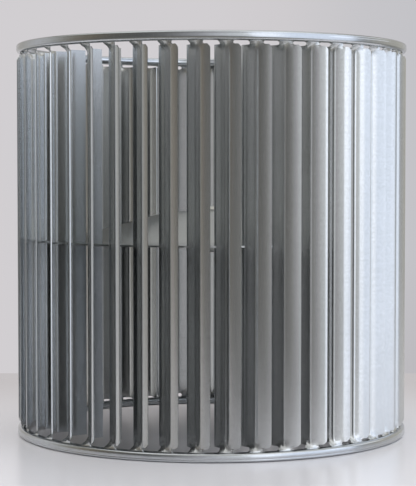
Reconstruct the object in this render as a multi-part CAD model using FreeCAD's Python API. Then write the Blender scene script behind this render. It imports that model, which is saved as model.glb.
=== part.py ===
import FreeCAD, Part
import math
import os

# Blower wheel with an inlet at each end: a circle of forward-curved blades,
# each with a tab at both ends, a ring rolled over the tabs at each end,
# a dished centre plate slotted round the blades and a swaged steel hub.
# Millimetres. The axis is Z, the origin is on it at half the wheel's height,
# and the wheel stands on its lower end ring.

# Whole wheel
wheel_diameter = 241.3
wheel_height = 240.0
blade_count = 43
first_tip_angle = -90.4

# Blades: depths are measured in from the circle of the blades' tips,
# and lags along the tangent at the tip, against the way the tips lean
blade_sheet = 0.55
tip_setback = 0.65
crease_depth = 5.7
crease_lag = 7.75
heel_depth = 12.0
heel_lag = 13.0
inner_depth = 23.0
inner_lag = 11.3
blade_belly = 0.55
blade_corner_clip = 1.7

# Ends of the blades: a neck swings out from the blade to the tab in the end ring
tab_depth = 3.35
neck_width = 8.2
relief_height = 2.0
web_height = 4.5

# End rings, rolled over the blades' tabs
ring_sheet = 0.7
ring_height = 5.4
ring_waist_height = 3.0
ring_foot_width = 3.6
tab_gap_in_ring = 0.8

# Centre plate
plate_sheet = 1.0
plate_rim_depth = 10.0
flat_rim_width = 23.0
dish_height = 17.0
hub_flat_radius = 24.0

# Hub and its set screw
bore_diameter = 12.7
hub_diameter = 31.75
hub_length = 24.0
spigot_diameter = 24.0
swage_height = 2.6
swage_width = 1.3
screw_diameter = 7.94
screw_chamfer = 0.7
socket_width = 3.97
socket_depth = 4.0
screw_bore_gap = 0.4
screw_recess = 1.2

# Fits
crimp_clearance = 0.15
slot_clearance = 0.20
swage_clearance = 0.05
thread_clearance = 0.06

# Worked out from the above
wheel_radius = wheel_diameter / 2
half_height = wheel_height / 2
tip_radius = wheel_radius - tip_setback
tab_radius = wheel_radius - tab_depth
plate_rim_radius = tip_radius - plate_rim_depth
screw_length = (hub_diameter - bore_diameter) / 2 - screw_bore_gap - screw_recess
blade_pitch = 360.0 / blade_count
flat_tolerance = 1e-4


def unit(a, b):
    """Direction from point a to point b, both (x, y)."""
    length = math.hypot(b[0] - a[0], b[1] - a[1])
    return ((b[0] - a[0]) / length, (b[1] - a[1]) / length)


def moved(point, direction, distance):
    return (point[0] + direction[0] * distance, point[1] + direction[1] * distance)


def between(a, b, share):
    return (a[0] + (b[0] - a[0]) * share, a[1] + (b[1] - a[1]) * share)


def turned(shape, degrees):
    copy = shape.copy()
    copy.rotate(FreeCAD.Vector(0, 0, 0), FreeCAD.Vector(0, 0, 1), degrees)
    return copy


def upside_down(shape):
    """The same shape mirrored in the wheel's middle plane."""
    return shape.mirror(FreeCAD.Vector(0, 0, 0), FreeCAD.Vector(0, 0, 1))


def revolved(outline):
    """Solid of revolution round Z from an outline of (radius, height) points."""
    corners = [FreeCAD.Vector(radius, 0, height) for radius, height in outline]
    face = Part.Face(Part.makePolygon(corners + corners[:1]))
    return face.revolve(FreeCAD.Vector(0, 0, 0), FreeCAD.Vector(0, 0, 1), 360)


def sheet_outline(path, half_sheet):
    """Closed outline of a bent sheet whose middle runs along a path of points."""
    left = []
    right = []
    for i, point in enumerate(path):
        first = unit(path[i - 1], point) if i > 0 else unit(point, path[i + 1])
        second = unit(point, path[i + 1]) if i < len(path) - 1 else first
        normal = unit((0, 0), (-(first[1] + second[1]), first[0] + second[0]))
        mitre = half_sheet / (normal[1] * first[0] - normal[0] * first[1])
        left.append(moved(point, normal, mitre))
        right.append(moved(point, normal, -mitre))
    return left + right[::-1]


def flat_face(corners):
    """Face through a ring of corners, in a list that is empty if fewer than three differ."""
    kept = []
    for i, corner in enumerate(corners):
        if corner.distanceToPoint(corners[i - 1]) > flat_tolerance:
            kept.append(corner)
    if len(kept) < 3:
        return []
    return [Part.Face(Part.makePolygon(kept + kept[:1]))]


def side_faces(a, b, c, d):
    """The side between two corners of one section and the same two of the next."""
    normal = (c - a).cross(d - b)
    if abs(normal.dot(b - a)) < flat_tolerance * normal.Length:
        return flat_face([a, b, c, d])
    return flat_face([a, b, c]) + flat_face([a, c, d])


def stacked(sections):
    """Solid with flat sides through (height, outline) sections, from the bottom up."""
    rings = [[FreeCAD.Vector(x, y, height) for x, y in outline] for height, outline in sections]
    faces = flat_face(rings[0]) + flat_face(rings[-1])
    for lower, upper in zip(rings, rings[1:]):
        for i in range(len(lower)):
            faces += side_faces(lower[i - 1], lower[i], upper[i], upper[i - 1])
    shell = Part.Shell(faces)
    shell.sewShape()
    return Part.Solid(shell)


def tip_point():
    return (tip_radius, 0.0)


def inner_point():
    return (tip_radius - inner_depth, -inner_lag)


def heel_point():
    """The bend between the blade's inner leg, which is nearly radial, and its outer one."""
    return (tip_radius - heel_depth, -heel_lag)


def crease_point():
    return (tip_radius - crease_depth, -crease_lag)


def belly_point():
    """Middle of the outer leg, which is formed a little hollow on its inside."""
    along = unit(crease_point(), tip_point())
    return moved(between(crease_point(), tip_point(), 0.5), (along[1], -along[0]), blade_belly)


def neck_corners():
    """Corners of the tab, on the tabs' circle. The outer one lies between crease and tip."""
    tip = tip_point()
    along = unit(tip, crease_point())
    drop = -along[0] * tip_radius
    reach = drop - math.sqrt(drop * drop - tip_radius * tip_radius + tab_radius * tab_radius)
    outer = moved(tip, along, reach)
    angle = math.atan2(outer[1], outer[0]) - neck_width / tab_radius
    return (tab_radius * math.cos(angle), tab_radius * math.sin(angle)), outer


def web_line(height_above_ring):
    """The flat web narrows from the tab's corners to the crease."""
    share = height_above_ring / web_height
    first, last = neck_corners()
    return between(first, crease_point(), share), between(last, crease_point(), share)


def neck_outline():
    """Section of a tab, with its ends cut square to the wheel's circle."""
    share = blade_sheet / 2 / tab_radius
    first, last = neck_corners()
    centre = (0.0, 0.0)
    inside = [between(first, centre, share), between(last, centre, share)]
    return inside + [between(last, centre, -share), between(first, centre, -share)]


def blade_neck():
    """Lower tab, held in the end ring, and its web, which runs into the crease."""
    ring_edge = -half_height + ring_height
    return stacked([
        (-half_height + ring_sheet + tab_gap_in_ring, neck_outline()),
        (ring_edge, neck_outline()),
        (ring_edge + relief_height, sheet_outline(web_line(relief_height), blade_sheet / 2)),
    ])


def foot_outline():
    """Section at the very end of both legs: clipped tip and the web between."""
    first, last = web_line(relief_height)
    outer_end = moved(tip_point(), unit(tip_point(), belly_point()), blade_corner_clip)
    path = [inner_point(), heel_point(), first, last, belly_point(), outer_end]
    return sheet_outline(path, blade_sheet / 2)


def blade_outline():
    """Full section of a blade, with the crease's two corners listed twice."""
    path = [inner_point(), heel_point(), crease_point(), belly_point(), tip_point()]
    corners = sheet_outline(path, blade_sheet / 2)
    return corners[:3] + corners[2:8] + corners[7:]


def blade_legs():
    """Both legs of a blade, from the lower relief to the upper one."""
    ring_edge = half_height - ring_height
    end = ring_edge - relief_height
    full = ring_edge - web_height
    return stacked([
        (-end, foot_outline()),
        (-full, blade_outline()),
        (full, blade_outline()),
        (end, foot_outline()),
    ])


def blade():
    """The blade whose tip is on +X, in one piece with its two tabs."""
    neck = blade_neck()
    return blade_legs().fuse([neck, upside_down(neck)]).removeSplitter()


def end_ring():
    """Lower ring: sheet rolled round both sides of the blades' tabs."""
    bottom = -half_height
    top = bottom + ring_height
    waist = bottom + ring_waist_height
    grip = blade_sheet / 2 + crimp_clearance
    lip = grip + ring_sheet
    foot = ring_foot_width / 2
    outside = [
        (tab_radius - lip, top),
        (tab_radius - tab_depth, waist),
        (tab_radius - foot, bottom),
        (tab_radius + foot, bottom),
        (tab_radius + tab_depth, waist),
        (tab_radius + lip, top),
    ]
    inside = [
        (tab_radius + grip, top),
        (tab_radius + foot, bottom + ring_sheet),
        (tab_radius - foot, bottom + ring_sheet),
        (tab_radius - grip, top),
    ]
    return revolved(outside + inside)


def blade_slot():
    """Cutter for one slot of the plate: a blade's section with its clearance."""
    inner = inner_point()
    inner_end = moved(inner, unit(heel_point(), inner), slot_clearance)
    path = [inner_end, heel_point(), crease_point(), belly_point(), tip_point()]
    outline = sheet_outline(path, blade_sheet / 2 + slot_clearance)
    return stacked([(-plate_sheet, outline), (plate_sheet, outline)])


def centre_plate():
    """Dished disc with a flat rim, slotted round the blades."""
    half = plate_sheet / 2
    under = [
        (spigot_diameter / 2 + swage_clearance, dish_height - half),
        (hub_flat_radius, dish_height - half),
        (plate_rim_radius - flat_rim_width, -half),
        (plate_rim_radius, -half),
    ]
    over = [(radius, height + plate_sheet) for radius, height in under]
    disc = revolved(under + over[::-1])
    slot = blade_slot()
    slots = [turned(slot, first_tip_angle + i * blade_pitch) for i in range(blade_count)]
    return disc.cut(slots)


def hub_seat_height():
    """Underside of the plate at the hub, where the hub's shoulder sits."""
    return dish_height - plate_sheet / 2


def screw_height():
    return hub_seat_height() - hub_length / 2


def hub():
    """Turned barrel below the plate, its spigot swaged over the plate's top."""
    seat = hub_seat_height()
    plate_top = seat + plate_sheet
    bottom = seat - hub_length
    top = plate_top + swage_height
    bore = bore_diameter / 2
    barrel = hub_diameter / 2
    spigot = spigot_diameter / 2
    outline = [
        (bore, bottom),
        (barrel, bottom),
        (barrel, seat),
        (spigot, seat),
        (spigot, plate_top + swage_clearance),
        (spigot + swage_width, plate_top + swage_clearance),
        (spigot + swage_width, top),
        (bore, top),
    ]
    body = revolved(outline)
    hole_radius = screw_diameter / 2 + thread_clearance
    start = FreeCAD.Vector(0, 0, screw_height())
    hole = Part.makeCylinder(hole_radius, hub_diameter, start, FreeCAD.Vector(0, -1, 0))
    return body.cut(hole)


def set_screw():
    """Socket set screw, backed off until its point clears the bore."""
    radius = screw_diameter / 2
    body = Part.makeCylinder(radius, screw_length)
    point_rim = [e for e in body.Edges if e.BoundBox.ZMax < flat_tolerance]
    body = body.makeChamfer(screw_chamfer, point_rim)
    corner_radius = socket_width / 2 / math.cos(math.radians(30))
    floor = screw_length - socket_depth
    corners = []
    for i in range(6):
        angle = math.radians(60 * i)
        x = corner_radius * math.cos(angle)
        y = corner_radius * math.sin(angle)
        corners.append(FreeCAD.Vector(x, y, floor))
    hexagon = Part.Face(Part.makePolygon(corners + corners[:1]))
    screw = body.cut(hexagon.extrude(FreeCAD.Vector(0, 0, socket_depth)))
    screw.rotate(FreeCAD.Vector(0, 0, 0), FreeCAD.Vector(1, 0, 0), 90)
    screw.translate(FreeCAD.Vector(0, -bore_diameter / 2 - screw_bore_gap, screw_height()))
    return screw


def main():
    os.makedirs("parts", exist_ok=True)
    first_blade = blade()
    lower_ring = end_ring()
    parts = {
        "lower_end_ring": lower_ring,
        "upper_end_ring": upside_down(lower_ring),
        "centre_plate": centre_plate(),
        "hub": hub(),
        "set_screw": set_screw(),
    }
    for i in range(blade_count):
        name = "blade_" + str(i + 1).zfill(2)
        parts[name] = turned(first_blade, first_tip_angle + i * blade_pitch)
    for name, shape in parts.items():
        solids = shape.Solids
        print(name, len(solids), "solid", round(shape.Volume), "mm3", "valid", shape.isValid())
        whole = solids[0] if len(solids) == 1 else Part.Compound(solids)
        whole.exportStep("parts/" + name + ".step")


main()
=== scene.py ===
import math

import bmesh
import bpy
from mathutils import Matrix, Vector


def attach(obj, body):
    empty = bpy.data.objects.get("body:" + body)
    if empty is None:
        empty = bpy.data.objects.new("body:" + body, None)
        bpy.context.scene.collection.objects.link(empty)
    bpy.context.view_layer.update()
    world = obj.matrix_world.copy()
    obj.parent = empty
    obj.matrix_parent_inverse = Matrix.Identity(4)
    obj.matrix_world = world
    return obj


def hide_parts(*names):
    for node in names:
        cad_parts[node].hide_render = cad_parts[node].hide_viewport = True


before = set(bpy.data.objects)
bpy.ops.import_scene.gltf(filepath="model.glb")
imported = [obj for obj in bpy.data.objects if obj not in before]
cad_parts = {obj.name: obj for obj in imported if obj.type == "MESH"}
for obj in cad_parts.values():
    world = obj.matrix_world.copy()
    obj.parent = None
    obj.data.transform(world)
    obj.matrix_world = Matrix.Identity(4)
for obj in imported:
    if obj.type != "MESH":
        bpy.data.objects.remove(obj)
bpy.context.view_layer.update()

# Sizes of the wheel in metres, from its CAD source. A point of a blade's section is (along the
# radius through its tip, across it), for a blade at the wheel's angle 0.
MM = 0.001
BLADES = 43
PITCH = math.tau / BLADES
FIRST_TIP = math.radians(-90.4)
TURN_ERROR = math.radians(0.12)
HALF_HEIGHT = 120.0 * MM

# Blade: the tip, the crease, the corner of the heel where its legs would meet, the inner edge
TIP = (120.0 * MM, 0.0)
CREASE = (114.3 * MM, -7.75 * MM)
HEEL = (107.8 * MM, -13.2 * MM)
INNER_EDGE = (97.0 * MM, -11.3 * MM)
BLADE_SHEET = 0.55 * MM
HEEL_BEND = 3.6 * MM
OUTER_BELLY = 0.66 * MM
CREASE_RIDGE = 0.20 * MM
CREASE_RIDGE_WIDTH = 0.5 * MM
CORNER_CLIP = 1.7 * MM
CORNER_CLIP_HEIGHT = 2.0 * MM
CORNER_CLIP_CURVE = 1.3

# Ends of a blade: a neck between two relief notches with rounded corners, and a tab that lies
# on the tabs' circle. The tab spreads almost as far as the corners, just short of the legs.
RING_EDGE = 114.6 * MM
TAB_RADIUS = 117.3 * MM
TAB_END = 3.9 * MM
NECK_WIDTH = 8.2 * MM
NECK_CORNER = 0.85 * MM
NECK_SPREAD = NECK_CORNER * 0.93
RELIEF = 2.0 * MM
SWING_HEIGHT = 6.2 * MM
SWING_WIDTH = 5.0 * MM
SWING_CURVE = 2.6

# Centre plate: the flat rim, and the dish between its foot and its head
PLATE_SHEET = 1.0 * MM
PLATE_RIM = 110.0 * MM
PLATE_ROOT = 95.0 * MM
SLOT_CLEARANCE = 0.2 * MM
DISH_FOOT = 88.5 * MM
DISH_HEAD = 25.0 * MM
DISH_HEIGHT = 17.0 * MM
DISH_FOOT_BEND = 3.5 * MM
DISH_HEAD_BEND = 7.0 * MM

# Marks on the metal: how long they are in every direction, or along X, Y and Z
ZINC_GRAIN = 1.3 * MM
ZINC_STAIN = 45 * MM
ROLLING_LINE = (25 * MM, 25 * MM, 0.8 * MM)
TOOL_MARK = (25 * MM, 25 * MM, 0.25 * MM)
# How much the lines and the stains count in the zinc's tone, its darkest and brightest tone,
# and how far the marks move the roughness up and down
LINES_SHARE = 0.3
STAINS_SHARE = 0.3
DARKEST = 0.90
BRIGHTEST = 1.05
ZINC_UNEVENNESS = 0.008
TOOL_UNEVENNESS = 0.08


def linear(hex_colour):
    """sRGB hex colour as linear RGBA."""
    channels = [int(hex_colour[i:i + 2], 16) / 255 for i in (1, 3, 5)]
    return [c / 12.92 if c <= 0.04045 else ((c + 0.055) / 1.055) ** 2.4 for c in channels] + [1.0]


def add(tree, kind, inputs=(), **settings):
    """Adds a node. Its inputs map each socket to a constant or to another node's output."""
    node = tree.nodes.new(kind)
    for name, value in settings.items():
        setattr(node, name, value)
    for socket, value in dict(inputs).items():
        if isinstance(value, bpy.types.NodeSocket):
            tree.links.new(value, node.inputs[socket])
        else:
            node.inputs[socket].default_value = value
    return node


# Materials


def surface(name):
    """A new material, its tree and its Principled shader."""
    material = bpy.data.materials.new(name)
    material.use_nodes = True
    return material, material.node_tree, material.node_tree.nodes["Principled BSDF"]


def galvanised_sheet(name, colour, roughness, drawn, upright=False):
    """Galvanised steel sheet, skin-passed at the mill. The grain of the zinc mottles it faintly.
    It is finer than a millimetre, and is drawn a little coarser so that it shows. The rolling
    lines run round the wheel and draw its sheen out up and down, so that what it mirrors stays
    crisp only from side to side: drawn says how much. On the blades the sheen is drawn upright,
    and on the rings and the plate across the direction round the axis."""
    material, tree, shader = surface(name)
    place = add(tree, "ShaderNodeTexCoord").outputs["Object"]
    grain = add(tree, "ShaderNodeTexNoise", {"Vector": place, "Scale": 1 / ZINC_GRAIN, "Detail": 3.0})
    squeezed = add(tree, "ShaderNodeMapping", {
        "Vector": place, "Scale": [1 / length for length in ROLLING_LINE]})
    lines = add(tree, "ShaderNodeTexNoise", {"Vector": squeezed.outputs[0], "Scale": 1.0, "Detail": 2.0})
    stains = add(tree, "ShaderNodeTexNoise", {"Vector": place, "Scale": 1 / ZINC_STAIN, "Detail": 3.0})
    marks = add(tree, "ShaderNodeMix", {
        "Factor": LINES_SHARE, 2: grain.outputs["Fac"], 3: lines.outputs["Fac"]})
    tone = add(tree, "ShaderNodeMix", {
        "Factor": STAINS_SHARE, 2: marks.outputs[0], 3: stains.outputs["Fac"]})
    toned = {"Value": tone.outputs[0], "From Min": 0.3, "From Max": 0.7}
    value = add(tree, "ShaderNodeMapRange", {**toned, "To Min": DARKEST, "To Max": BRIGHTEST})
    tint = add(tree, "ShaderNodeVectorMath", {
        0: linear(colour)[:3], "Scale": value.outputs[0]}, operation="SCALE")
    rough = add(tree, "ShaderNodeMapRange", {
        **toned, "To Min": roughness + ZINC_UNEVENNESS, "To Max": roughness - ZINC_UNEVENNESS})
    if upright:
        spread = add(tree, "ShaderNodeCombineXYZ", {"X": 0.01, "Z": 1.0})
    else:
        spread = add(tree, "ShaderNodeTangent", direction_type="RADIAL", axis="Z")
        shader.inputs["Anisotropic Rotation"].default_value = 0.25
    tree.links.new(tint.outputs[0], shader.inputs["Base Color"])
    tree.links.new(rough.outputs[0], shader.inputs["Roughness"])
    tree.links.new(spread.outputs[0], shader.inputs["Tangent"])
    shader.inputs["Metallic"].default_value = 1.0
    shader.inputs["Anisotropic"].default_value = drawn
    return material


def turned_steel(name, colour, roughness):
    """Turned steel, bright on the hub and blacked on the screw. The tool leaves fine marks one
    above the other, so that the sheen comes and goes in faint bands."""
    material, tree, shader = surface(name)
    place = add(tree, "ShaderNodeTexCoord").outputs["Object"]
    squeezed = add(tree, "ShaderNodeMapping", {
        "Vector": place, "Scale": [1 / length for length in TOOL_MARK]})
    bands = add(tree, "ShaderNodeTexNoise", {"Vector": squeezed.outputs[0], "Scale": 1.0, "Detail": 1.0})
    rough = add(tree, "ShaderNodeMapRange", {
        "Value": bands.outputs["Fac"],
        "To Min": roughness - TOOL_UNEVENNESS, "To Max": roughness + TOOL_UNEVENNESS})
    tree.links.new(rough.outputs[0], shader.inputs["Roughness"])
    shader.inputs["Base Color"].default_value = linear(colour)
    shader.inputs["Metallic"].default_value = 1.0
    return material


blade_finish = galvanised_sheet("galvanised_blade", "#D3D5D5", 0.23, 1.0, upright=True)
ring_finish = galvanised_sheet("galvanised_ring", "#C3C6C8", 0.19, 0.3)
plate_finish = galvanised_sheet("galvanised_plate", "#C9CBCB", 0.28, 0.9)
hub_finish = turned_steel("turned_steel_hub", "#B9B8B2", 0.30)
screw_finish = turned_steel("black_oxide_screw", "#2B2B2C", 0.45)


# Shapes


def mesh_object(name, points, faces, smooth=True):
    """An object in the scene, from its points in metres and its faces."""
    mesh = bpy.data.meshes.new(name)
    mesh.from_pydata([tuple(p) for p in points], [], faces)
    built = bpy.data.objects.new(name, mesh)
    bpy.context.scene.collection.objects.link(built)
    for face in mesh.polygons:
        face.use_smooth = smooth
    return built


def tidy_mesh(built, sharp_degrees=40, merge=0.01 * MM):
    """Merges doubles, turns faces outwards and marks the sharp edges."""
    shell = bmesh.new()
    shell.from_mesh(built.data)
    bmesh.ops.remove_doubles(shell, verts=shell.verts, dist=merge)
    bmesh.ops.recalc_face_normals(shell, faces=shell.faces)
    shell.to_mesh(built.data)
    shell.free()
    built.data.set_sharp_from_angle(angle=math.radians(sharp_degrees))
    return built


def baked(built, name):
    """A plain mesh of an object with its modifiers applied. The object itself goes."""
    bpy.context.view_layer.update()
    graph = bpy.context.evaluated_depsgraph_get()
    mesh = bpy.data.meshes.new_from_object(built.evaluated_get(graph))
    bpy.data.objects.remove(built)
    mesh.name = name
    whole = bpy.data.objects.new(name, mesh)
    bpy.context.scene.collection.objects.link(whole)
    return whole


def give(built, tree, **values):
    """Puts a Geometry Nodes tree on an object and sets its named inputs."""
    modifier = built.modifiers.new(tree.name, "NODES")
    modifier.node_group = tree
    for item in tree.interface.items_tree:
        if item.item_type == "SOCKET" and item.in_out == "INPUT" and item.name in values:
            modifier[item.identifier] = values[item.name]


def new_tree(name, inputs):
    """An empty Geometry Nodes tree with named inputs: (name, kind, default)."""
    tree = bpy.data.node_groups.new(name, "GeometryNodeTree")
    tree.is_modifier = True
    tree.interface.new_socket("Geometry", in_out="INPUT", socket_type="NodeSocketGeometry")
    tree.interface.new_socket("Geometry", in_out="OUTPUT", socket_type="NodeSocketGeometry")
    for label, kind, default in inputs:
        socket = tree.interface.new_socket(label, in_out="INPUT", socket_type=kind)
        if default is not None:
            socket.default_value = default
    return tree, add(tree, "NodeGroupInput").outputs, add(tree, "NodeGroupOutput")


def round_the_axis():
    """Repeats a piece round the wheel's axis, each one turned a little off true."""
    tree, given, result = new_tree("round_the_axis", [
        ("Count", "NodeSocketInt", BLADES),
        ("First Angle", "NodeSocketFloat", FIRST_TIP),
        ("Turn Error", "NodeSocketFloat", 0.0),
        ("Seed", "NodeSocketInt", 7),
        ("Merge Distance", "NodeSocketFloat", 0.0),
        ("Material", "NodeSocketMaterial", None),
    ])
    points = add(tree, "GeometryNodePoints", {"Count": given["Count"]})
    index = add(tree, "GeometryNodeInputIndex")
    step = add(tree, "ShaderNodeMath", {0: math.tau, 1: given["Count"]}, operation="DIVIDE")
    angle = add(tree, "ShaderNodeMath", {
        0: index.outputs[0], 1: step.outputs[0], 2: given["First Angle"]}, operation="MULTIPLY_ADD")
    least = add(tree, "ShaderNodeMath", {0: given["Turn Error"], 1: -1.0}, operation="MULTIPLY")
    error = add(tree, "FunctionNodeRandomValue", {
        2: least.outputs[0], 3: given["Turn Error"], "Seed": given["Seed"]})
    turn = add(tree, "ShaderNodeMath", {0: angle.outputs[0], 1: error.outputs[1]}, operation="ADD")
    rotation = add(tree, "ShaderNodeCombineXYZ", {"Z": turn.outputs[0]})
    copies = add(tree, "GeometryNodeInstanceOnPoints", {
        "Points": points.outputs[0], "Instance": given["Geometry"], "Rotation": rotation.outputs[0]})
    real = add(tree, "GeometryNodeRealizeInstances", {"Geometry": copies.outputs[0]})
    merged = add(tree, "GeometryNodeMergeByDistance", {
        "Geometry": real.outputs[0], "Distance": given["Merge Distance"]})
    painted = add(tree, "GeometryNodeSetMaterial", {
        "Geometry": merged.outputs[0], "Material": given["Material"]})
    tree.links.new(painted.outputs[0], result.inputs[0])
    return tree


repeat = round_the_axis()


def polar(radius, angle):
    """A point of the wheel's plane, from its radius and angle."""
    return Vector((radius * math.cos(angle), radius * math.sin(angle)))


def turned(point, angle):
    """A point of the wheel's plane, turned round the axis."""
    cos = math.cos(angle)
    sin = math.sin(angle)
    return Vector((point.x * cos - point.y * sin, point.x * sin + point.y * cos))


# Blades

# Where the mesh of a blade has lines: shares of the inner leg's length and of the outer leg's,
# distances in millimetres from the crease, and heights in millimetres above the ring's edge
INNER_SHARES = [0.0, 0.25, 0.5] + [0.6 + 0.4 * i / 10 for i in range(11)]
OUTER_SHARES = [0.0, 0.25, 0.5, 0.75, 1.0]
NECK_SHARES = [0.0, 0.15, 0.6, 0.75, 0.9, 1.0]
CREASE_LINES = (-1.2, -0.8, -0.5, -0.25, 0.0, 0.25, 0.5, 0.8, 1.2)
NECK_LINES = [-TAB_END / MM, -2.0, -0.5, 0.0, 0.12, 0.3, 0.55, 0.9, 1.1, 1.45, 1.7, 1.88]
LEG_LINES = [2.0, 2.15, 2.4, 2.8, 3.3, 3.9, 4.6, 5.4, 6.4, 9.0, 20.0, 40.0, 60.0, 80.0, 100.0]


def heel_bend():
    """Directions before and after the heel's bend, half its turn, and what it trims off each leg."""
    before = (Vector(HEEL) - Vector(CREASE)).normalized()
    after = (Vector(INNER_EDGE) - Vector(HEEL)).normalized()
    half_turn = before.angle(after) / 2
    return before, after, half_turn, HEEL_BEND * math.tan(half_turn)


def leg_lengths():
    """Length of the sheet's middle from the crease to the inner edge, and to the tip."""
    crease = Vector(CREASE)
    heel = Vector(HEEL)
    before, after, half_turn, trim = heel_bend()
    straight = (heel - crease).length + (Vector(INNER_EDGE) - heel).length
    return straight - 2 * trim + 2 * half_turn * HEEL_BEND, (Vector(TIP) - crease).length


def inner_leg(run):
    """Middle of the sheet, run metres inwards from the crease: flat, bent at the heel, flat again."""
    crease = Vector(CREASE)
    heel = Vector(HEEL)
    before, after, half_turn, trim = heel_bend()
    straight = (heel - crease).length - trim
    if run <= straight:
        return crease + before * run
    turn = min((run - straight) / HEEL_BEND, 2 * half_turn)
    across = (after - before * before.dot(after)).normalized()
    start = heel - before * trim
    bent = start + before * HEEL_BEND * math.sin(turn) + across * HEEL_BEND * (1 - math.cos(turn))
    return bent + after * (run - straight - turn * HEEL_BEND)


def blade_section(s):
    """Middle of a blade's sheet, s metres from its crease, inwards where s is negative.
    The outer leg is rolled hollow, and a small ridge stands along the crease."""
    ridge = Vector((1.0, -1.0)).normalized() * CREASE_RIDGE * math.exp(-(s / CREASE_RIDGE_WIDTH) ** 2)
    if s < 0:
        return inner_leg(-s) + ridge
    crease = Vector(CREASE)
    tip = Vector(TIP)
    length = (tip - crease).length
    along = (tip - crease) / length
    outward = Vector((along.y, -along.x))
    share = s / length
    return crease + along * s + outward * OUTER_BELLY * 4 * share * (1 - share) + ridge


def neck_reach():
    """Where the neck's two edges lie on a blade, in metres from the crease. The outer one is
    where the blade crosses the tabs' circle."""
    along = (Vector(CREASE) - Vector(TIP)).normalized()
    drop = -along.x * TIP[0]
    from_tip = drop - math.sqrt(drop * drop - TIP[0] ** 2 + TAB_RADIUS ** 2)
    outer = leg_lengths()[1] - from_tip
    return outer - NECK_WIDTH, outer


def sheet_point(s, rise):
    """A point of the blade's middle surface, rise metres above the ring's edge. The middle
    of the foot swings out smoothly until it lies on the tabs' circle."""
    point = blade_section(s)
    first, last = neck_reach()
    if s > last:
        return point
    edge = blade_section(last)
    edge_angle = math.atan2(edge.y, edge.x)
    held = max(s, first)
    on_circle = polar(TAB_RADIUS, edge_angle + (held - last) / TAB_RADIUS)
    swing = max(0.0, 1 - max(rise, 0.0) / SWING_HEIGHT) ** SWING_CURVE
    if s < first:
        swing *= max(0.0, 1 - (first - s) / SWING_WIDTH) ** 2
    return point + (on_circle - blade_section(held)) * swing


def neck_spread(rise):
    """How far the rounded corners of the relief notches spread the neck's edge."""
    nearest = min(rise, RELIEF - rise)
    if nearest >= NECK_CORNER:
        return 0.0
    if nearest <= 0:
        return NECK_SPREAD
    return min(NECK_SPREAD, NECK_CORNER - math.sqrt(NECK_CORNER ** 2 - (NECK_CORNER - nearest) ** 2))


def blade_stations(rise):
    """Where the mesh has points across the sheet at one height, in metres from the crease.
    None stands for a point that the relief notches leave out."""
    tiny = 0.001 * MM
    first, last = neck_reach()
    inner_length, outer_length = leg_lengths()
    spread = neck_spread(rise) if rise < RELIEF + tiny else 0.0
    low = first - spread
    high = last + spread
    crease_share = -first / (last - first)
    shares = sorted(NECK_SHARES + [crease_share + line * MM / NECK_WIDTH for line in CREASE_LINES])
    neck = [low + (high - low) * share for share in shares]
    if rise < RELIEF - tiny:
        return [None] * len(INNER_SHARES) + neck + [None] * len(OUTER_SHARES)
    inner_end = first - NECK_CORNER
    inner = [-inner_length + (inner_end + inner_length) * share for share in INNER_SHARES]
    clip = CORNER_CLIP * max(0.0, 1 - (rise - RELIEF) / CORNER_CLIP_HEIGHT) ** CORNER_CLIP_CURVE
    start = last + NECK_CORNER
    outer = [start + (outer_length - clip - start) * share for share in OUTER_SHARES]
    return inner + neck + outer


def blade_sheet():
    """One blade with its necks and tabs, as a thin closed sheet, at the wheel's angle 0."""
    lower_half = [line * MM for line in NECK_LINES + LEG_LINES] + [RING_EDGE]
    levels = [(-1, rise) for rise in lower_half] + [(1, rise) for rise in lower_half[-2::-1]]
    points = []
    rows = []
    for side, rise in levels:
        row = []
        for s in blade_stations(rise):
            if s is None:
                row.append(None)
                continue
            point = sheet_point(s, rise)
            row.append(len(points))
            points.append((point.x, point.y, side * (RING_EDGE - rise)))
        rows.append(row)
    faces = []
    for lower, upper in zip(rows, rows[1:]):
        for i in range(len(lower) - 1):
            corners = [lower[i], lower[i + 1], upper[i + 1], upper[i]]
            if None not in corners:
                faces.append(corners)
    blade = tidy_mesh(mesh_object("blade", points, faces), merge=0.001 * MM)
    thick = blade.modifiers.new("sheet", "SOLIDIFY")
    thick.thickness = BLADE_SHEET
    thick.offset = 0.0
    thick.use_even_offset = True
    return blade


def make_blades():
    """All the blades. Each is one piece with its two tabs, and stands a little off its pitch."""
    shape = baked(blade_sheet(), "blade")
    shape.data.set_sharp_from_angle(angle=math.radians(50))
    blades = []
    for i in range(BLADES):
        blade = shape.copy()
        bpy.context.scene.collection.objects.link(blade)
        give(blade, repeat, **{
            "Count": 1, "First Angle": FIRST_TIP + i * PITCH, "Turn Error": TURN_ERROR,
            "Seed": i, "Material": blade_finish})
        blades.append(baked(blade, "blade_%02d_sheet" % (i + 1)))
    bpy.data.objects.remove(shape)
    return blades


# End rings

# Half of a lower ring's section in millimetres: (distance from the tabs' circle, height above
# the floor). The bead has a shallow groove above its rolled edge, and a lip on the tabs.
BEAD_OUTSIDE = [
    (1.00, 5.40), (1.60, 5.34), (2.25, 5.10), (2.75, 4.70), (3.08, 4.15), (3.22, 3.50),
    (3.26, 2.80), (3.24, 2.20), (3.12, 1.78), (3.10, 1.62), (3.20, 1.40), (3.14, 1.00),
    (2.86, 0.56), (2.40, 0.22), (1.80, 0.04), (1.0, 0.0)]
BEAD_INSIDE = [(0.42, 5.20), (1.6, 3.6), (1.9, 1.6), (1.0, 0.75)]


def ring_section():
    """Closed section of a lower end ring in metres, from its half and the mirrored half."""
    half = [(x * MM, z * MM) for x, z in BEAD_OUTSIDE[::-1] + BEAD_INSIDE]
    return half + [(-x, z) for x, z in half[::-1]]


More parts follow.
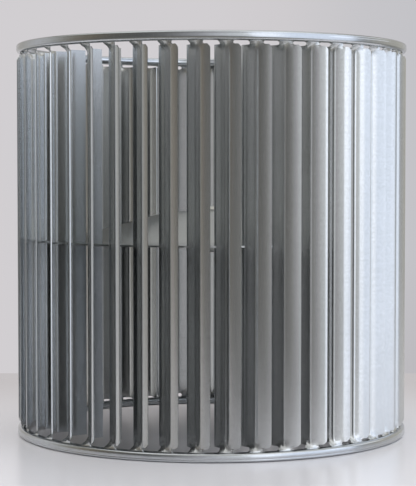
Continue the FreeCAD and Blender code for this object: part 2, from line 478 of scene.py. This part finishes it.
def rolled_ring():
    """Sweeps a ring's section round the wheel."""
    tree, given, result = new_tree("rolled_ring", [
        ("Band Radius", "NodeSocketFloat", TAB_RADIUS),
        ("Segments", "NodeSocketInt", BLADES * 24),
        ("Section", "NodeSocketObject", None),
        ("Material", "NodeSocketMaterial", None),
    ])
    circle = add(tree, "GeometryNodeCurvePrimitiveCircle", {
        "Resolution": given["Segments"], "Radius": given["Band Radius"]})
    section = add(tree, "GeometryNodeObjectInfo", {"Object": given["Section"]})
    swept = add(tree, "GeometryNodeCurveToMesh", {
        "Curve": circle.outputs[0], "Profile Curve": section.outputs["Geometry"]})
    real = add(tree, "GeometryNodeRealizeInstances", {"Geometry": swept.outputs[0]})
    painted = add(tree, "GeometryNodeSetMaterial", {
        "Geometry": real.outputs[0], "Material": given["Material"]})
    tree.links.new(painted.outputs[0], result.inputs[0])
    return tree


roll = rolled_ring()


def section_curve(points):
    """A closed curve through (x, y) points, for a sweep."""
    curve = bpy.data.curves.new("section", "CURVE")
    curve.dimensions = "2D"
    spline = curve.splines.new("POLY")
    spline.points.add(len(points) - 1)
    for point, (x, y) in zip(spline.points, points):
        point.co = (x, y, 0.0, 1.0)
    spline.use_cyclic_u = True
    built = bpy.data.objects.new("section", curve)
    bpy.context.scene.collection.objects.link(built)
    return built


def make_ring(name, upper):
    """A lower ring, or the upper one as its mirror image. The sweep turns its section upside
    down, so that the section's heights are given downwards from the middle of the wheel."""
    section = section_curve([(x, HALF_HEIGHT - z) for x, z in ring_section()])
    holder = mesh_object(name, [(0, 0, 0)], [])
    give(holder, roll, **{"Section": section, "Material": ring_finish})
    ring = baked(holder, name)
    bpy.data.objects.remove(section)
    if upper:
        for vertex in ring.data.vertices:
            vertex.co.z = -vertex.co.z
    return tidy_mesh(ring, sharp_degrees=55, merge=0.001 * MM)


# Centre plate

# Radii in millimetres at which the mesh of the dish has a ring, from the rim to the hub
DISH_LINES = (
    92, 90, 88.5, 87, 85.5, 84, 80, 74, 68, 62, 56, 50, 44, 38, 34, 31, 28.5, 26, 24, 22, 18, 12.05)


def slot_side(offset):
    """One side of a plate slot, from its inner end to the rim, offset from the blade's middle."""
    step = 0.5 * MM
    run = leg_lengths()[0] + SLOT_CLEARANCE
    side = []
    while True:
        here = inner_leg(run)
        along = (inner_leg(run - step) - here).normalized()
        point = here + Vector((-along.y, along.x)) * offset
        if point.length > PLATE_RIM:
            inside = side[-1]
            share = (PLATE_RIM - inside.length) / (point.length - inside.length)
            return side + [inside + (point - inside) * share]
        side.append(point)
        run -= step


def dish_profile():
    """Rings of the dish: (radius, height above the flat rim) in metres. It is a cone with
    a rounded bend at its foot and at its head."""
    length = DISH_FOOT - DISH_HEAD
    foot = DISH_FOOT_BEND / length
    head = DISH_HEAD_BEND / length
    rings = []
    for line in DISH_LINES:
        run = (DISH_FOOT - line * MM) / length
        share = min(max(run, 0.0), 1.0)
        if abs(run) < foot:
            share = (run + foot) ** 2 / (4 * foot)
        if abs(run - 1) < head:
            share = 1 - (1 + head - run) ** 2 / (4 * head)
        rings.append((line * MM, share * DISH_HEIGHT))
    return rings


def plate_wedge():
    """One pitch of the plate: its finger between two blades and its part of the dish."""
    slices = 4
    rim_slices = 6
    gap = BLADE_SHEET / 2 + SLOT_CLEARANCE
    left = slot_side(gap)
    right = [turned(point, PITCH) for point in slot_side(-gap)]
    rim_start = math.atan2(left[-1].y, left[-1].x)
    rim_turn = (math.atan2(right[-1].y, right[-1].x) - rim_start) / rim_slices
    rim = [polar(PLATE_RIM, rim_start + rim_turn * i) for i in range(rim_slices + 1)]
    slot_end = (left[0] + turned(right[0], -PITCH)) / 2
    begin = math.atan2(slot_end.y, slot_end.x)
    angles = [begin + PITCH * i / slices for i in range(slices + 1)]
    base = [polar(PLATE_ROOT, angle) for angle in angles]
    outline = [slot_end] + left[:-1] + rim + right[-2::-1] + [turned(slot_end, PITCH)] + base[::-1]
    sheet = bmesh.new()
    finger = sheet.faces.new([sheet.verts.new((p.x, p.y, 0.0)) for p in outline])
    bmesh.ops.triangulate(sheet, faces=[finger])
    previous = [sheet.verts.new((p.x, p.y, 0.0)) for p in base]
    for radius, height in dish_profile():
        ring = [sheet.verts.new((*polar(radius, angle), height)) for angle in angles]
        for i in range(slices):
            sheet.faces.new([previous[i], ring[i], ring[i + 1], previous[i + 1]])
        previous = ring
    bmesh.ops.remove_doubles(sheet, verts=sheet.verts, dist=0.001 * MM)
    mesh = bpy.data.meshes.new("plate_wedge")
    sheet.to_mesh(mesh)
    sheet.free()
    wedge = bpy.data.objects.new("plate_wedge", mesh)
    bpy.context.scene.collection.objects.link(wedge)
    return wedge


def make_plate():
    """The whole plate, from its wedges."""
    merge = 0.02 * MM
    wedge = plate_wedge()
    give(wedge, repeat, **{
        "Count": BLADES, "First Angle": FIRST_TIP, "Merge Distance": merge, "Material": plate_finish})
    plate = tidy_mesh(baked(wedge, "centre_plate_sheet"), sharp_degrees=60, merge=merge)
    for face in plate.data.polygons:
        face.use_smooth = True
    thick = plate.modifiers.new("sheet", "SOLIDIFY")
    thick.thickness = PLATE_SHEET
    thick.offset = 0.0
    whole = baked(plate, "centre_plate_sheet")
    whole.data.set_sharp_from_angle(angle=math.radians(40))
    return whole


# Hub and set screw

# Sizes in millimetres, with heights above the plate's rim and lengths along the screw
BORE_RADIUS = 6.35
HUB_RADIUS = 15.88
HUB_FOOT = -7.5
HUB_SHOULDER = 16.5
HUB_TOP = 20.1
HUB_EDGE = 0.5
SPIGOT_RADIUS = 12.0
SCREW_HEIGHT = 4.5
SCREW_RADIUS = 3.97
SCREW_LENGTH = 7.92
SCREW_FROM_AXIS = 6.75
SCREW_CHAMFER = 0.6
HOLE_RADIUS = 4.03
HOLE_FROM_AXIS = 4.0
HOLE_LENGTH = 12.0
SOCKET_CORNER = 2.29
SOCKET_FLOOR = 3.9
SOCKET_END = 9.0


def turned_piece(name, profile, segments, finish):
    """A closed solid of revolution round Z from a ring of (radius, height) points."""
    count = len(profile)
    points = []
    for i in range(segments):
        angle = i * math.tau / segments
        for radius, z in profile:
            points.append((radius * MM * math.cos(angle), radius * MM * math.sin(angle), z * MM))
    faces = []
    for i in range(segments):
        here = i * count
        there = (i + 1) % segments * count
        for j in range(count):
            above = (j + 1) % count
            faces.append([here + j, here + above, there + above, there + j])
    built = tidy_mesh(mesh_object(name, points, faces), sharp_degrees=30)
    built.data.materials.append(finish)
    return built


def screw_shape(name, radius, length, from_axis, chamfer):
    """A cylinder along -Y at the set screw's height, from_axis mm from the hub's axis."""
    segments = 40
    profile = [(radius, chamfer), (radius, length)]
    if chamfer:
        profile.insert(0, (radius - chamfer, 0.0))
    count = len(profile)
    points = []
    for i in range(segments):
        angle = i * math.tau / segments
        for r, along in profile:
            rise = SCREW_HEIGHT + r * math.sin(angle)
            points.append((r * MM * math.cos(angle), -(from_axis + along) * MM, rise * MM))
    faces = []
    for i in range(segments):
        here = i * count
        there = (i + 1) % segments * count
        for j in range(count - 1):
            faces.append([here + j, here + j + 1, there + j + 1, there + j])
    faces.append([i * count for i in range(segments)])
    faces.append([i * count + count - 1 for i in range(segments)])
    return tidy_mesh(mesh_object(name, points, faces, smooth=False), sharp_degrees=30)


def cut_from(body, cutter, name, whole_name):
    """The body with the cutter's shape taken out of it. The cutter goes."""
    cut = body.modifiers.new(name, "BOOLEAN")
    cut.operation = "DIFFERENCE"
    cut.object = cutter
    cut.solver = "EXACT"
    whole = baked(body, whole_name)
    bpy.data.objects.remove(cutter)
    return whole


def make_hub():
    """Barrel, spigot and swaged lip, with the tapped hole cut for the set screw."""
    barrel = [
        (BORE_RADIUS, HUB_FOOT + HUB_EDGE), (BORE_RADIUS + HUB_EDGE, HUB_FOOT),
        (HUB_RADIUS - 0.78, HUB_FOOT), (HUB_RADIUS, HUB_FOOT + 0.8),
        (HUB_RADIUS, HUB_SHOULDER - HUB_EDGE), (HUB_RADIUS - 0.48, HUB_SHOULDER),
        (SPIGOT_RADIUS, HUB_SHOULDER)]
    lip = [
        (SPIGOT_RADIUS, 17.5), (13.1, 17.55), (13.3, 17.8), (13.25, 18.6), (12.9, 19.3),
        (12.2, 19.9), (11.6, HUB_TOP), (BORE_RADIUS + 0.55, HUB_TOP), (BORE_RADIUS, HUB_TOP - HUB_EDGE)]
    body = turned_piece("hub_body", barrel + lip, 96, hub_finish)
    hole = screw_shape("tapped_hole", HOLE_RADIUS, HOLE_LENGTH, HOLE_FROM_AXIS, 0.0)
    hub = cut_from(body, hole, "tapped_hole", "hub_body")
    hub.data.set_sharp_from_angle(angle=math.radians(30))
    return hub


def make_screw():
    """Set screw with a hexagon socket."""
    body = screw_shape("set_screw_body", SCREW_RADIUS, SCREW_LENGTH, SCREW_FROM_AXIS, SCREW_CHAMFER)
    body.data.materials.append(screw_finish)
    points = []
    for depth in (SOCKET_FLOOR, SOCKET_END):
        for i in range(6):
            corner = polar(SOCKET_CORNER, math.radians(60 * i))
            points.append((corner.x * MM, -(SCREW_FROM_AXIS + depth) * MM, (SCREW_HEIGHT + corner.y) * MM))
    ends = [[0, 1, 2, 3, 4, 5], [6, 7, 8, 9, 10, 11]]
    sides = [[i, (i + 1) % 6, 6 + (i + 1) % 6, 6 + i] for i in range(6)]
    socket = tidy_mesh(mesh_object("hexagon", points, ends + sides, smooth=False))
    return cut_from(body, socket, "socket", "set_screw_body")


def dress(piece, node):
    """The piece turns with the wheel and stands for its node."""
    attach(piece, "root")
    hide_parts(node)


for number, blade in enumerate(make_blades(), 1):
    dress(blade, "blade_%02d" % number)
dress(make_ring("lower_ring_bead", upper=False), "lower_end_ring")
dress(make_ring("upper_ring_bead", upper=True), "upper_end_ring")
dress(make_plate(), "centre_plate")
dress(make_hub(), "hub")
dress(make_screw(), "set_screw")


# Studio

# Table in metres: its edges, where it fades into the wall, and its gap below the wheel
TABLE_LEFT = -0.45
TABLE_RIGHT = 0.6
TABLE_FRONT = -0.212
TABLE_BACK = 0.29
TABLE_FADE = (-0.05, 0.25)
TABLE_GAP = 0.02 * MM

# Tones of the room round the wheel: degrees from the camera's side, to the right, and the
# colour above the table's level and below it. They are painted light and shade, which the wall
# glows with for the camera and which the metal mirrors: near white a little to the camera's
# right, which gives the blades part of their highlights, and darkest a little to its left.
ROOM_TONES = [
    (-180, "#D1CED1", "#D1CED1"), (-165, "#D1CED1", "#D1CED1"), (-146, "#B8B5AF", "#C5C4C0"),
    (-131, "#C5C4C2", "#C4C2C0"), (-118, "#D4D4D7", "#C0C0C2"), (-106, "#CBCBCB", "#B5B6BC"),
    (-94, "#ADACA6", "#959390"), (-82, "#918A80", "#959390"), (-70, "#837C70", "#73716E"),
    (-60, "#736F6A", "#73716E"), (-49, "#6C6B69", "#73716E"), (-40, "#696969", "#73716E"),
    (-30, "#797979", "#73716E"), (-22, "#8E8E8F", "#73716E"), (-14, "#AAAAAD", "#73716E"),
    (-6, "#BFBFC4", "#73716E"), (2, "#DDDEE3", "#73716E"), (10, "#ECEFF3", "#85878A"),
    (18, "#F9FCFF", "#85878A"), (34, "#FCFDFF", "#8D8F92"), (44, "#BAC2CE", "#929496"),
    (88, "#B9C0CA", "#9E9E9E"), (100, "#B5B5B3", "#9B9B9B"), (118, "#C7C4BC", "#999997"),
    (142, "#C7C5BD", "#959590"), (165, "#BFBFC4", "#B8B6BA"), (172, "#C6C5C9", "#BFBDC1"),
    (176, "#CECBCE", "#CECBCE"), (180, "#D1CED1", "#D1CED1")]
# Heights in metres at which the wall has its upper tone, or its lower one
ROOM_HEIGHTS = [(-0.9, False), (-0.3, False), (-0.1, True), (1.3, True)]
ROOM_RADIUS = 1.9


def studio_surface(name, colour, roughness):
    """A plain pale surface of the studio, as its material, tree and shader."""
    material, tree, shader = surface(name)
    shader.inputs["Base Color"].default_value = linear(colour)
    shader.inputs["Roughness"].default_value = roughness
    return material, tree, shader


def show_as_written(tree, shader, share, colour):
    """Shows a colour as it is written, by a share that is 1 where it hides the lit surface."""
    glow = add(tree, "ShaderNodeEmission", {"Color": colour, "Strength": 1.0})
    mixed = add(tree, "ShaderNodeMixShader", {0: share, 1: shader.outputs[0], 2: glow.outputs[0]})
    tree.links.new(mixed.outputs[0], tree.nodes["Material Output"].inputs["Surface"])


def make_table():
    """White lacquered table top, whose sheen mirrors the wheel faintly. Its far side fades
    into the wall for the camera, because the photograph's background is out of focus."""
    material, tree, shader = studio_surface("white_table", "#E2E1E4", 0.25)
    place = add(tree, "ShaderNodeSeparateXYZ", {0: add(tree, "ShaderNodeTexCoord").outputs["Object"]})
    fade = add(tree, "ShaderNodeMapRange", {
        "Value": place.outputs["Y"], "From Min": TABLE_FADE[0], "From Max": TABLE_FADE[1]},
        interpolation_type="SMOOTHSTEP")
    rays = add(tree, "ShaderNodeLightPath")
    seen = add(tree, "ShaderNodeMath", {
        0: fade.outputs[0], 1: rays.outputs["Is Camera Ray"]}, operation="MULTIPLY")
    show_as_written(tree, shader, seen.outputs[0], linear("#C4C0C1"))
    z = -HALF_HEIGHT - TABLE_GAP
    corners = [
        (TABLE_LEFT, TABLE_FRONT, z), (TABLE_RIGHT, TABLE_FRONT, z),
        (TABLE_RIGHT, TABLE_BACK, z), (TABLE_LEFT, TABLE_BACK, z)]
    table = mesh_object("table", corners, [[0, 1, 2, 3]], smooth=False)
    table.data.materials.append(material)


def make_room():
    """Wall round the table, which glows with the room's painted light and shade. The camera
    and the metal see its tones as they are written, so what the metal mirrors of it is painted
    light and shade.
    """
    material, tree, shader = studio_surface("painted_room_light", "#CFCCCF", 1.0)
    tone = add(tree, "ShaderNodeAttribute", attribute_name="tone")
    rays = add(tree, "ShaderNodeLightPath")
    # The wall glows with its painted tones for camera rays and for the metal's reflections
    seen = add(tree, "ShaderNodeMath", {
        0: rays.outputs["Is Camera Ray"], 1: rays.outputs["Is Glossy Ray"]}, operation="ADD")
    show_as_written(tree, shader, seen.outputs[0], tone.outputs["Color"])
    points = []
    tones = []
    for height, upper in ROOM_HEIGHTS:
        for degrees, upper_colour, lower_colour in ROOM_TONES:
            turn = math.radians(degrees)
            points.append((ROOM_RADIUS * math.sin(turn), -ROOM_RADIUS * math.cos(turn), height))
            tones.append(linear(upper_colour if upper else lower_colour))
    across = len(ROOM_TONES)
    faces = []
    for row in range(len(ROOM_HEIGHTS) - 1):
        for i in range(across - 1):
            corner = row * across + i
            faces.append([corner, corner + across, corner + across + 1, corner + 1])
    wall = mesh_object("wall", points, faces, smooth=False)
    attribute = wall.data.attributes.new("tone", "FLOAT_COLOR", "POINT")
    for point, colour in zip(attribute.data, tones):
        point.color = colour
    wall.data.materials.append(material)


def soft_lamp(name, where, aim, size, power, colour, mirrored=True):
    """A rectangular lamp that points at aim. The metal mirrors it, unless mirrored is False."""
    light = bpy.data.lights.new(name, "AREA")
    light.shape = "RECTANGLE"
    light.size = size[0]
    light.size_y = size[1]
    light.energy = power
    light.color = linear(colour)[:3]
    lamp = bpy.data.objects.new(name, light)
    lamp.location = where
    lamp.visible_glossy = mirrored
    lamp.rotation_euler = (Vector(aim) - Vector(where)).to_track_quat("-Z", "Y").to_euler()
    bpy.context.scene.collection.objects.link(lamp)


def make_world():
    """Dim grey light from every side that the wall leaves open."""
    world = bpy.data.worlds.new("studio")
    world.use_nodes = True
    bpy.context.scene.world = world
    ground = world.node_tree.nodes["Background"]
    ground.inputs["Color"].default_value = linear("#A3A199")
    ground.inputs["Strength"].default_value = 1.0


def make_camera():
    """The photograph's viewpoint: a metre away, a little above the wheel's middle, looking
    slightly down and to the left of it."""
    down = 2.49
    left = 0.114
    lens = bpy.data.cameras.new("camera")
    lens.lens = 122.5
    lens.sensor_width = 36.0
    camera = bpy.data.objects.new("camera", lens)
    camera.location = (0.0, -1.033, 0.0423)
    camera.rotation_euler = (math.radians(90 - down), 0.0, math.radians(left))
    bpy.context.scene.collection.objects.link(camera)
    bpy.context.scene.camera = camera


make_table()
make_room()
make_world()
# Each lamp's place, what it points at, its sides in metres, its watts and its colour
soft_lamp("window", (1.23, -0.86, 0.3), (0.0, 0.0, 0.2), (1.98, 1.7), 9.0, "#E4EDFF")
soft_lamp("window_top", (1.16, -1.10, 1.42), (0.0, 0.0, 1.42), (1.53, 0.55), 3.2, "#F2F6FF")
soft_lamp("side_window", (1.58, 0.24, 0.95), (0.0, 0.0, 0.95), (1.6, 0.95), 3.0, "#EEF3FF")
soft_lamp("ceiling", (0.0, 0.0, 1.8), (0.0, 0.0, 0.0), (3.0, 3.0), 20.0, "#F6F9FF")
soft_lamp("table_light", (0.0, 0.0, 1.79), (0.0, 0.0, 0.0), (3.0, 3.0), 25.0, "#FFFFFF", mirrored=False)
make_camera()
bpy.context.scene.view_settings.view_transform = "Standard"
